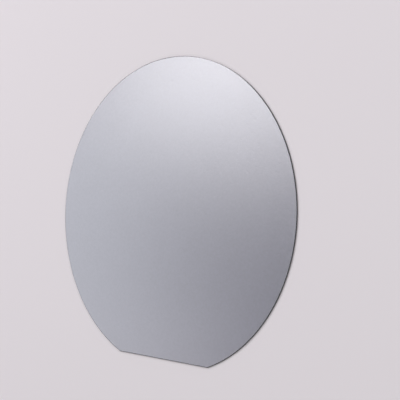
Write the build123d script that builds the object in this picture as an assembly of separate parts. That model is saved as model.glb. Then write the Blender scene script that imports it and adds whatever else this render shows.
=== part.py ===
from build123d import *
import os
from math import radians, sqrt, tan

# A silicon carbide wafer: a thin round disc, ground from one block, with one straight flat.
# It lies on its back face. The origin is the centre of the round on the back face, the front
# face looks up along +Z, and the flat faces -Y.

# Driving dimensions, in millimetres and degrees.
DIAMETER = 150.0  # across the round
FLAT_LENGTH = 57.5  # primary flat, between the corners that it makes with the round
THICKNESS = 0.675  # back face to front face
CORNER_RADIUS = 2.0  # blend where the flat runs into the round
BEVEL_WIDTH = 0.30  # how far each edge bevel reaches in over its face
BEVEL_ANGLE = 22.0  # between a bevel and its face
NOSE_RADIUS = 0.10  # rounding between a bevel and the upright land

# Sizes that follow from them.
radius = DIAMETER / 2
flat_distance = sqrt(radius**2 - (FLAT_LENGTH / 2) ** 2)  # centre to flat
bevel_depth = BEVEL_WIDTH * tan(radians(BEVEL_ANGLE))
land_height = THICKNESS - 2 * bevel_depth  # upright band between the two bevels
nose_setback = tan(radians(90 - BEVEL_ANGLE) / 2)  # land used up by a rounding of radius 1
nose_radius = min(NOSE_RADIUS, land_height / 4 / nose_setback)  # half the land stays upright


def outline():
    """The outline from above: a circle cut straight at the flat, with both corners blended."""
    round_blank = Circle(radius)
    beyond_flat = Pos(0, -flat_distance) * Rectangle(
        DIAMETER, DIAMETER, align=(Align.CENTER, Align.MAX)
    )
    cut_blank = round_blank - beyond_flat
    corners = cut_blank.vertices().group_by(Axis.Y)[0]
    return fillet(corners, CORNER_RADIUS)


def edge_section():
    """The ground edge in section: a bevel off each face, an upright land between them and a
    small rounding where they meet. X = 0 is the rim, and Y runs from back face to front."""
    inner_end = -2 * BEVEL_WIDTH
    section = Polygon(
        (inner_end, 0),
        (-BEVEL_WIDTH, 0),
        (0, bevel_depth),
        (0, THICKNESS - bevel_depth),
        (-BEVEL_WIDTH, THICKNESS),
        (inner_end, THICKNESS),
        align=None,
    )
    rim_corners = section.vertices().group_by(Axis.X)[-1]
    return fillet(rim_corners, nose_radius)


def ground_edge(outer_wire):
    """The edge section carried all the way round the outline, along the round and the flat."""
    along = outer_wire % 0
    outward = along.cross(Vector(0, 0, 1))
    start = Plane(origin=outer_wire @ 0, x_dir=outward, z_dir=-along)
    return sweep(start * edge_section(), path=outer_wire)


wafer_outline = outline()
full_thickness = extrude(offset(wafer_outline, -BEVEL_WIDTH), THICKNESS)
wafer = full_thickness + ground_edge(wafer_outline.face().outer_wire())
wafer.label = "wafer"

os.makedirs("parts", exist_ok=True)
export_step(wafer, "parts/wafer.step")
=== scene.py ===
import math

import bpy
import numpy as np
from mathutils import Euler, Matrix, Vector


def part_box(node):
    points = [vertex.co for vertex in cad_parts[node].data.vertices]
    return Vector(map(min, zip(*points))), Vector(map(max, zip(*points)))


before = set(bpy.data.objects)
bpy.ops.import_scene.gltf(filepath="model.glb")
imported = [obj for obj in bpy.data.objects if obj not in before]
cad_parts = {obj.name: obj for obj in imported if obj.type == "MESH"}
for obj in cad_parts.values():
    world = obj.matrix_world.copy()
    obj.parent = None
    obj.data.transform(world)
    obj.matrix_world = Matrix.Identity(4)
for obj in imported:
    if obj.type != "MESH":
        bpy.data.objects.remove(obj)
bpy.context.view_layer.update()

bl_info = {
    "name": "Silicon Carbide Wafer",
    "version": (1, 0, 0),
    "blender": (4, 5, 0),
    "location": "View3D > Sidebar > Wafer",
    "description": "A ground silicon carbide wafer lying in a plain studio",
    "category": "Add Mesh",
}

# The wafer lies on its back face in the XY plane, with its front face up and its flat facing -Y.
# Lengths are in metres and angles in radians, as Blender keeps them.
NODE = "wafer"
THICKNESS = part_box(NODE)[1][2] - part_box(NODE)[0][2]

# How many finer layers a noise has on its coarsest one.
FINE_DETAIL = 3.0
SOFT_DETAIL = 2.0

FLOOR_SIDES = 96
FLOOR_DEPTH = 0.00001  # below the wafer's back face, so that the two don't share a plane
FLOOR_ROUGHNESS = 0.9
NEAREST_SEEN = 0.01  # from the camera


def a_length(name, description, default, precision=4):
    """A property for a length in metres, shown to a number of decimals."""
    return bpy.props.FloatProperty(
        name=name,
        description=description,
        default=default,
        min=0,
        precision=precision,
        unit="LENGTH",
        subtype="DISTANCE",
    )


def a_place(name, description, default):
    """A property for a point in metres."""
    return bpy.props.FloatVectorProperty(
        name=name,
        description=description,
        default=default,
        size=3,
        unit="LENGTH",
        subtype="TRANSLATION",
    )


def an_angle(name, description, degrees):
    """A property for an angle, with its default given in degrees."""
    return bpy.props.FloatProperty(
        name=name,
        description=description,
        default=math.radians(degrees),
        unit="ROTATION",
        subtype="ANGLE",
    )


def a_colour(name, description, default):
    """A property for a linear colour."""
    return bpy.props.FloatVectorProperty(
        name=name,
        description=description,
        default=default,
        size=3,
        subtype="COLOR",
        min=0,
        max=1,
    )


def a_share(name, description, default):
    """A property for a roughness, a contrast or another share from 0 to 1."""
    return bpy.props.FloatProperty(
        name=name, description=description, default=default, min=0, max=1
    )


def a_number(name, description, default, least, unit="NONE"):
    """A property for any other number, which is never under the least."""
    return bpy.props.FloatProperty(
        name=name, description=description, default=default, min=least, unit=unit
    )


class WaferFinish(bpy.types.PropertyGroup):
    """The colours and textures of the ground faces and of the ground edge. The edge's colours are
    darker than the faces' as painted shade for the dark line round the rim. A spot's finish goes by
    its depth below the nearer face, which is nothing on the faces themselves."""

    crease_depth: a_length(
        "Crease depth", "Depth below its face past which the finish is a bevel's", 0.000004, 6
    )
    bevel_depth: a_length(
        "Bevel depth", "Depth below its face past which the finish is the land's", 0.000096, 6
    )
    face_colour: a_colour(
        "Face colour", "Ground silicon carbide, away from any reflection", (0.09, 0.088, 0.13)
    )
    face_roughness: a_share(
        "Face roughness", "How far the fine grinding spreads a reflection", 0.3
    )
    # Painted shade: the bevels' colour is darker than the faces' to paint in the dark line round the
    # rim, where the edge is in shade and mirrors dark surroundings.
    bevel_painted_shade_colour: a_colour(
        "Bevel colour",
        "The dark, finely ground bevels, away from any reflection",
        (0.035, 0.033, 0.044),
    )
    bevel_roughness: a_share(
        "Bevel roughness", "How far the grinding of the edge bevels spreads a reflection", 0.25
    )
    # Painted shade: the land's colour is near black, darker than the faces', to paint in the dark line
    # round the rim where the edge faces away from the light.
    land_painted_shade_colour: a_colour(
        "Land colour", "The darker upright land and the noses beside it", (0.03, 0.03, 0.035)
    )
    land_roughness: a_share(
        "Land roughness", "How far the coarse grinding of the land spreads a reflection", 0.6
    )
    refractive_index: a_number(
        "Refractive index",
        "Silicon carbide's refractive index, which sets how much it mirrors",
        2.65,
        1,
    )
    land_refractive_index: a_number(
        "Land refractive index",
        "Lower than the faces', because the coarse land mirrors less",
        1.5,
        1,
    )
    grain_size: a_length("Grain size", "Size of the fine grain that the grinding leaves", 0.0012)
    grain_contrast: a_share(
        "Grain contrast", "How much lighter and darker than their surroundings the grains are", 0.24
    )
    grain_depth: a_length("Grain depth", "How deep the relief of the fine grain is", 0.000008, 7)
    gloss_contrast: a_share(
        "Gloss contrast",
        "How much rougher and smoother than their surroundings the grains and lines are",
        0.06,
    )
    cloud_size: a_length("Cloud size", "Size of the faint clouds in the faces' colour", 0.02)
    cloud_contrast: a_share(
        "Cloud contrast", "How much lighter and darker than their surroundings the clouds are", 0.06
    )
    mark_size: a_length(
        "Mark size", "Size of the shallow marks scattered over the faces", 0.002
    )
    mark_depth: a_length("Mark depth", "Depth of the shallow marks", 0.00002, 6)
    mark_sparseness: a_share(
        "Mark sparseness",
        "Level of the coarse noise above which a mark begins, where more leaves fewer",
        0.55,
    )
    mark_softness: a_share(
        "Mark softness", "Rise of the coarse noise from the edge of a mark to its full depth", 0.3
    )
    line_length: a_length(
        "Line length", "Length of the fine lines that run round the ground edge", 0.0015
    )
    line_width: a_length(
        "Line width", "Width of the fine lines, across the wafer's thickness", 0.00003, 6
    )
    line_depth: a_length("Line depth", "Depth of the fine lines on the edge", 0.0000004, 7)
    line_contrast: a_share(
        "Line contrast", "How much lighter and darker than the edge its fine lines are", 0.35
    )


class WaferStudio(bpy.types.PropertyGroup):
    """The floor, the light and the camera. Each lamp is a soft square that faces the wafer's
    centre from its place. The far side and the near side are the camera's."""

    floor_colour: a_colour("Floor colour", "The pale floor", (0.78, 0.735, 0.75))
    floor_radius: a_length("Floor radius", "The floor is a round sheet", 4.0)
    sky_strength: a_number(
        "Sky strength", "Even light from all round, where 1 shows a white as white", 0.4, 0
    )
    key_place: a_place("Key place", "Middle of the lamp high on the far side", (-1.03, 0.4, 1.29))
    key_size: a_length("Key size", "Side of the lamp high on the far side", 0.5)
    key_power: a_number("Key power", "Watts of the lamp high on the far side", 4.65, 0, "POWER")
    key_colour: a_colour("Key colour", "Colour of the lamp high on the far side", (0.98, 0.96, 1.0))
    fill_place: a_place("Fill place", "Middle of the lower lamp on the far side", (-1.03, -0.05, 0.7))
    fill_size: a_length("Fill size", "Side of the lower lamp on the far side", 0.5)
    fill_power: a_number("Fill power", "Watts of the lower lamp on the far side", 1.55, 0, "POWER")
    fill_colour: a_colour("Fill colour", "Colour of the lower lamp on the far side", (0.9, 0.93, 1.0))
    front_place: a_place("Front place", "Middle of the weak lamp by the flat", (-0.86, -0.36, 0.89))
    front_size: a_length("Front size", "Side of the weak lamp by the flat", 0.3)
    front_power: a_number("Front power", "Watts of the weak lamp by the flat", 0.48, 0, "POWER")
    front_colour: a_colour("Front colour", "Colour of the weak lamp by the flat", (0.96, 0.93, 1.0))
    back_place: a_place("Back place", "Middle of the lamp behind the round end", (-0.49, 0.7, 0.7))
    back_size: a_length("Back size", "Side of the lamp behind the round end", 0.5)
    back_power: a_number("Back power", "Watts of the lamp behind the round end", 2.95, 0, "POWER")
    back_colour: a_colour("Back colour", "Colour of the lamp behind the round end", (0.96, 0.93, 1.0))
    near_place: a_place("Near place", "Middle of the wide lamp on the near side", (0.85, 0.49, 0.7))
    near_size: a_length("Near size", "Side of the wide lamp on the near side", 0.9)
    near_power: a_number("Near power", "Watts of the wide lamp on the near side", 5.1, 0, "POWER")
    near_colour: a_colour("Near colour", "Colour of the wide lamp on the near side", (0.96, 0.97, 1.0))
    camera_azimuth: an_angle("Camera azimuth", "0 looks along +Y and 90 degrees along -X", 89.25)
    camera_elevation: an_angle(
        "Camera elevation", "How far above the wafer's plane the camera stands", 48.46
    )
    camera_roll: an_angle(
        "Camera roll", "Turn about the line of sight, which puts the flat at the bottom", -86.87
    )
    camera_distance: a_length("Camera distance", "From the point that the camera aims at", 0.437)
    camera_aim: a_place(
        "Camera aim", "The point on the wafer in the middle of the picture", (0.0195, 0.007, 0.00034)
    )
    camera_lens: a_number("Camera lens", "Focal length in millimetres on a 36 mm sensor", 85.0, 1)


class Value:
    """One output of a shader node. Arithmetic on it adds Math nodes to its tree."""

    def __init__(self, tree, socket):
        self.tree = tree
        self.socket = socket

    def _math(self, operation, *operands):
        return self.tree.node(
            "ShaderNodeMath", {"operation": operation}, dict(enumerate(operands))
        )

    def __add__(self, other):
        return self._math("ADD", self, other)

    __radd__ = __add__

    def __sub__(self, other):
        return self._math("SUBTRACT", self, other)

    def __rsub__(self, other):
        return self._math("SUBTRACT", other, self)

    def __mul__(self, other):
        return self._math("MULTIPLY", self, other)

    __rmul__ = __mul__

    def __gt__(self, other):
        return self._math("GREATER_THAN", self, other)

    def __lt__(self, other):
        return self._math("LESS_THAN", self, other)


class Tree:
    """The node tree of a material or a world, emptied and ready to build in."""

    def __init__(self, owner):
        owner.use_nodes = True
        self.nodes = owner.node_tree.nodes
        self.links = owner.node_tree.links
        self.nodes.clear()

    def node(self, kind, settings=None, sockets=None, output=0):
        """Adds a node: first its settings, then the value or link of each socket."""
        made = self.nodes.new(kind)
        for name, setting in (settings or {}).items():
            setattr(made, name, setting)
        for key, value in (sockets or {}).items():
            if isinstance(value, Value):
                self.links.new(value.socket, made.inputs[key])
            else:
                made.inputs[key].default_value = value
        return Value(self, made.outputs[output] if made.outputs else None)

    def noise(self, place, size, detail):
        """A noise whose features are about as large as the size, from 0 to 1 and mostly near 0.5."""
        return self.node(
            "ShaderNodeTexNoise",
            sockets={"Vector": place, "Scale": 1 / size, "Detail": detail},
        )

    def relief(self, height):
        """A normal that follows a height in metres."""
        return self.node(
            "ShaderNodeBump", sockets={"Strength": 1.0, "Distance": 1.0, "Height": height}
        )

    def blend(self, share, first, second):
        """The first shader where the share is 0, and the second where it is 1."""
        return self.node("ShaderNodeMixShader", sockets={0: share, 1: first, 2: second})


def face_texture(tree, finish, place):
    """A fine grain in colour, gloss and relief, faint clouds in colour, and shallow marks where a
    coarse noise rises above most of its range. Returns factors for the colour and the roughness,
    and the relief."""
    grain = 2 * tree.noise(place, finish.grain_size, FINE_DETAIL) - 1
    cloud = 2 * tree.noise(place, finish.cloud_size, SOFT_DETAIL) - 1
    mark = tree.node(
        "ShaderNodeMapRange",
        {"interpolation_type": "SMOOTHSTEP"},
        {
            "Value": tree.noise(place, finish.mark_size, FINE_DETAIL),
            "From Min": finish.mark_sparseness,
            "From Max": finish.mark_sparseness + finish.mark_softness,
        },
    )
    shade = 1 + finish.grain_contrast * grain + finish.cloud_contrast * cloud
    gloss = 1 + finish.gloss_contrast * grain
    return shade, gloss, tree.relief(finish.grain_depth * grain - finish.mark_depth * mark)


def edge_texture(tree, finish, place):
    """Fine lines round the edge, as its grinding wheel leaves them: a noise squeezed along Z, in
    colour, gloss and relief. Returns factors for the colour and the roughness, and the relief."""
    squeeze = (1.0, 1.0, finish.line_length / finish.line_width)
    squeezed = tree.node(
        "ShaderNodeVectorMath", {"operation": "MULTIPLY"}, {0: place, 1: squeeze}
    )
    line = 2 * tree.noise(squeezed, finish.line_length, SOFT_DETAIL) - 1
    shade = 1 + finish.line_contrast * line
    gloss = 1 + finish.gloss_contrast * line
    return shade, gloss, tree.relief(finish.line_depth * line)


def ground_shader(tree, texture, colour, roughness, refractive_index):
    """Ground silicon carbide in one finish, varied by a texture."""
    shade, gloss, relief = texture
    shaded = tree.node(
        "ShaderNodeVectorMath", {"operation": "SCALE"}, {"Vector": tuple(colour), "Scale": shade}
    )
    return tree.node(
        "ShaderNodeBsdfPrincipled",
        sockets={
            "Base Color": shaded,
            "Roughness": roughness * gloss,
            "IOR": refractive_index,
            "Normal": relief,
        },
    )


def wafer_material(finish):
    """The faces' finish, which gives way to the bevels' and then to the land's with the depth
    below the nearer face. That depth is the lesser of the heights from the two faces."""
    material = bpy.data.materials.new("ground_silicon_carbide")
    tree = Tree(material)
    place = tree.node("ShaderNodeTexCoord", output="Object")
    height = tree.node("ShaderNodeSeparateXYZ", sockets={"Vector": place}, output="Z")
    depth = tree.node(
        "ShaderNodeMath", {"operation": "MINIMUM"}, {0: height, 1: THICKNESS - height}
    )
    on_face = face_texture(tree, finish, place)
    on_edge = edge_texture(tree, finish, place)
    index = finish.refractive_index
    land_index = finish.land_refractive_index
    face = ground_shader(tree, on_face, finish.face_colour, finish.face_roughness, index)
    # The bevel and land colours carry painted shade, which darkens the line round the rim.
    bevel = ground_shader(tree, on_edge, finish.bevel_painted_shade_colour, finish.bevel_roughness, index)
    land = ground_shader(tree, on_edge, finish.land_painted_shade_colour, finish.land_roughness, land_index)
    edge = tree.blend(depth > finish.bevel_depth, bevel, land)
    surface = tree.blend(depth > finish.crease_depth, face, edge)
    tree.node("ShaderNodeOutputMaterial", sockets={"Surface": surface})
    return material


class WAFER_OT_grind(bpy.types.Operator):
    """Give the wafer its ground faces, bevels and land"""

    bl_idname = "wafer.grind"
    bl_label = "Grind wafer"

    def execute(self, context):
        wafer = bpy.data.objects[NODE]
        wafer.material_slots[0].material = wafer_material(context.scene.wafer_finish)
        return {"FINISHED"}


def make_lamp(studio, name):
    """A square soft lamp that faces the wafer's centre, from the studio's values for its name."""
    lamp = bpy.data.lights.new(name, "AREA")
    lamp.size = getattr(studio, name + "_size")
    lamp.energy = getattr(studio, name + "_power")
    lamp.color = getattr(studio, name + "_colour")
    holder = bpy.data.objects.new(name, lamp)
    holder.location = getattr(studio, name + "_place")
    holder.rotation_euler = holder.location.to_track_quat("Z", "Y").to_euler()
    holder.visible_camera = False
    bpy.context.scene.collection.objects.link(holder)


def make_floor(studio):
    """A round pale floor just under the wafer: its rim is the points of a circle at even turns."""
    turn = np.linspace(0, 2 * math.pi, FLOOR_SIDES, endpoint=False)
    rim = np.stack(
        [
            studio.floor_radius * np.cos(turn),
            studio.floor_radius * np.sin(turn),
            np.full(FLOOR_SIDES, -FLOOR_DEPTH),
        ],
        axis=1,
    )
    mesh = bpy.data.meshes.new("floor")
    mesh.from_pydata(rim.tolist(), [], [list(range(FLOOR_SIDES))])
    material = bpy.data.materials.new("pale_floor")
    tree = Tree(material)
    surface = tree.node(
        "ShaderNodeBsdfPrincipled",
        sockets={"Base Color": (*studio.floor_colour, 1.0), "Roughness": FLOOR_ROUGHNESS},
    )
    tree.node("ShaderNodeOutputMaterial", sockets={"Surface": surface})
    mesh.materials.append(material)
    floor = bpy.data.objects.new("floor", mesh)
    bpy.context.scene.collection.objects.link(floor)


def make_sky(studio):
    """Even light from all round."""
    world = bpy.data.worlds.new("studio_sky")
    tree = Tree(world)
    sky = tree.node(
        "ShaderNodeBackground",
        sockets={"Color": (1.0, 1.0, 1.0, 1.0), "Strength": studio.sky_strength},
    )
    tree.node("ShaderNodeOutputWorld", sockets={"Surface": sky})
    bpy.context.scene.world = world


def make_camera(studio):
    """A camera that looks down on the front face, rolled so that the flat is at the bottom."""
    camera = bpy.data.objects.new("camera", bpy.data.cameras.new("camera"))
    turned = Euler((math.pi / 2 - studio.camera_elevation, 0, studio.camera_azimuth)).to_matrix()
    turned = turned @ Euler((0, 0, studio.camera_roll)).to_matrix()
    camera.rotation_euler = turned.to_euler()
    camera.location = Vector(studio.camera_aim) + turned.col[2] * studio.camera_distance
    camera.data.lens = studio.camera_lens
    camera.data.clip_start = NEAREST_SEEN
    bpy.context.scene.collection.objects.link(camera)
    bpy.context.scene.camera = camera


class WAFER_OT_studio(bpy.types.Operator):
    """Make the floor, the light and the camera"""

    bl_idname = "wafer.studio"
    bl_label = "Set up studio"

    def execute(self, context):
        studio = context.scene.wafer_studio
        make_floor(studio)
        make_sky(studio)
        for name in ("key", "fill", "front", "back", "near"):
            make_lamp(studio, name)
        make_camera(studio)
        context.scene.view_settings.view_transform = "Standard"
        return {"FINISHED"}


class WAFER_PT_sidebar(bpy.types.Panel):
    """The wafer's finish and studio, with a button for each operator"""

    bl_idname = "WAFER_PT_sidebar"
    bl_label = "Silicon Carbide Wafer"
    bl_space_type = "VIEW_3D"
    bl_region_type = "UI"
    bl_category = "Wafer"

    def draw(self, context):
        for group in GROUPS:
            settings = getattr(context.scene, group)
            for name in settings.bl_rna.properties.keys():
                if name not in ("rna_type", "name"):
                    self.layout.prop(settings, name)
        for operator in OPERATORS:
            self.layout.operator(operator.bl_idname)


GROUPS = {
    "wafer_finish": WaferFinish,
    "wafer_studio": WaferStudio,
}
OPERATORS = [WAFER_OT_grind, WAFER_OT_studio]


def register():
    for name, group in GROUPS.items():
        bpy.utils.register_class(group)
        setattr(bpy.types.Scene, name, bpy.props.PointerProperty(type=group))
    for operator in OPERATORS:
        bpy.utils.register_class(operator)
    bpy.utils.register_class(WAFER_PT_sidebar)


def unregister():
    bpy.utils.unregister_class(WAFER_PT_sidebar)
    for operator in reversed(OPERATORS):
        bpy.utils.unregister_class(operator)
    for name, group in reversed(GROUPS.items()):
        delattr(bpy.types.Scene, name)
        bpy.utils.unregister_class(group)


def main():
    """Registers the classes, finishes the wafer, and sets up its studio."""
    register()
    bpy.ops.wafer.grind()
    bpy.ops.wafer.studio()


if __name__ == "__main__":
    main()
